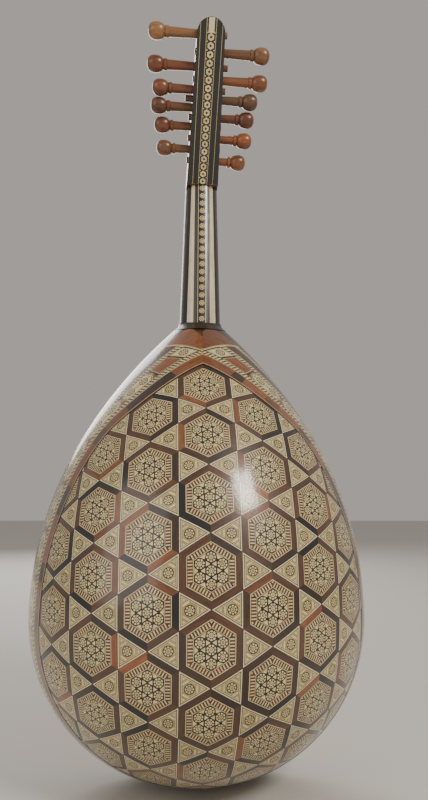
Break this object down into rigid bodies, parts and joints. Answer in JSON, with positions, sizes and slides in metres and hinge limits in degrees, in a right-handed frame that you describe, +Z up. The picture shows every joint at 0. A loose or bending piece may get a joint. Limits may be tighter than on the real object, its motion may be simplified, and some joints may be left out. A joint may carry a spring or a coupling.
{
  "type": "oud",
  "caption": "Short-necked lute with a half-round back covered in hexagon mosaic, a bent-back pegbox with wooden friction pegs, and strings in double courses over a pierced soundboard.",
  "frame": {"origin": "foot of the bowl, where its lowest point lies in the rim plane and rests on the floor", "axes": "+Z up the neck, the flat soundboard faces -Y, the rounded mosaic back faces +Y, +X is to the left seen from behind"},
  "size_m": [0.3756, 0.1989, 0.8352],
  "materials": {
    "rib_wood": "planed, unfinished inside",
    "mosaic": "micro-mosaic of wood and bone under gloss lacquer",
    "spruce": "planed, bare",
    "soundboard_spruce": "thin matte varnish",
    "block_wood": "bare",
    "rosette_wood": "carved, satin",
    "bone": "polished bone",
    "pickguard": "satin veneer",
    "bridge_wood": "oiled",
    "peg_wood": "turned and oiled",
    "neck_wood": "lacquered",
    "ebony": "polished",
    "wound_string": "silver-plated winding",
    "plain_string": "clear nylon"
  },
  "bodies": {
    "body": {"bowl_rib_1": "rib_wood", "bowl_rib_2": "rib_wood", "bowl_rib_3": "rib_wood", "bowl_rib_4": "rib_wood", "bowl_rib_5": "rib_wood", "bowl_rib_6": "rib_wood", "bowl_rib_7": "rib_wood", "bowl_rib_8": "rib_wood", "bowl_rib_9": "rib_wood", "brace_1": "spruce", "brace_2": "spruce", "brace_3": "spruce", "brace_4": "spruce", "brace_5": "spruce", "brace_6": "spruce", "brace_7": "spruce", "bridge": "bridge_wood", "cheek_left": "ebony", "cheek_right": "ebony", "collar": "ebony", "edge_binding": "mosaic", "fingerboard": "ebony", "foot_block": "block_wood", "main_rosette": "rosette_wood", "mosaic_field": "mosaic", "neck_block": "block_wood", "neck_bone": "bone", "neck_core": "neck_wood", "neck_ebony": "ebony", "neck_edge_mosaic": "mosaic", "neck_mosaic": "mosaic", "nut": "bone", "pegbox_back": "ebony", "pegbox_cap": "ebony", "pegbox_heel": "ebony", "pegbox_inlay": "mosaic", "pickguard": "pickguard", "rim_band": "mosaic", "rim_linings": "spruce", "small_rosettes": "rosette_wood", "sound_hole_rings": "mosaic", "soundboard": "soundboard_spruce", "string_course_1": "wound_string", "string_course_2": "wound_string", "string_course_3": "wound_string", "string_course_4": "wound_string", "string_course_5": "plain_string", "string_course_6": "plain_string"},
    "left_peg_1": {"peg_left_1": "peg_wood"},
    "left_peg_2": {"peg_left_2": "peg_wood"},
    "left_peg_3": {"peg_left_3": "peg_wood"},
    "left_peg_4": {"peg_left_4": "peg_wood"},
    "left_peg_5": {"peg_left_5": "peg_wood"},
    "left_peg_6": {"peg_left_6": "peg_wood"},
    "right_peg_1": {"peg_right_1": "peg_wood"},
    "right_peg_2": {"peg_right_2": "peg_wood"},
    "right_peg_3": {"peg_right_3": "peg_wood"},
    "right_peg_4": {"peg_right_4": "peg_wood"},
    "right_peg_5": {"peg_right_5": "peg_wood"},
    "right_peg_6": {"peg_right_6": "peg_wood"}
  },
  "joints": [
    {"name": "left_peg_1_turn", "type": "hinge", "parent": "body", "child": "left_peg_1", "pos_m": [0, 0.03602, 0.7212], "axis": [1, 0, 0], "continuous": true},
    {"name": "left_peg_2_turn", "type": "hinge", "parent": "body", "child": "left_peg_2", "pos_m": [0, 0.05187, 0.74132], "axis": [1, 0, 0], "continuous": true},
    {"name": "left_peg_3_turn", "type": "hinge", "parent": "body", "child": "left_peg_3", "pos_m": [0, 0.06474, 0.75767], "axis": [1, 0, 0], "continuous": true},
    {"name": "left_peg_4_turn", "type": "hinge", "parent": "body", "child": "left_peg_4", "pos_m": [0, 0.07663, 0.77276], "axis": [1, 0, 0], "continuous": true},
    {"name": "left_peg_5_turn", "type": "hinge", "parent": "body", "child": "left_peg_5", "pos_m": [0, 0.09142, 0.79155], "axis": [1, 0, 0], "continuous": true},
    {"name": "left_peg_6_turn", "type": "hinge", "parent": "body", "child": "left_peg_6", "pos_m": [0, 0.11167, 0.81725], "axis": [1, 0, 0], "continuous": true},
    {"name": "right_peg_1_turn", "type": "hinge", "parent": "body", "child": "right_peg_1", "pos_m": [0, 0.02822, 0.7113], "axis": [-1, 0, 0], "continuous": true},
    {"name": "right_peg_2_turn", "type": "hinge", "parent": "body", "child": "right_peg_2", "pos_m": [0, 0.04394, 0.73126], "axis": [-1, 0, 0], "continuous": true},
    {"name": "right_peg_3_turn", "type": "hinge", "parent": "body", "child": "right_peg_3", "pos_m": [0, 0.05843, 0.74965], "axis": [-1, 0, 0], "continuous": true},
    {"name": "right_peg_4_turn", "type": "hinge", "parent": "body", "child": "right_peg_4", "pos_m": [0, 0.07068, 0.76521], "axis": [-1, 0, 0], "continuous": true},
    {"name": "right_peg_5_turn", "type": "hinge", "parent": "body", "child": "right_peg_5", "pos_m": [0, 0.08344, 0.78141], "axis": [-1, 0, 0], "continuous": true},
    {"name": "right_peg_6_turn", "type": "hinge", "parent": "body", "child": "right_peg_6", "pos_m": [0, 0.10089, 0.80357], "axis": [-1, 0, 0], "continuous": true}
  ]
}
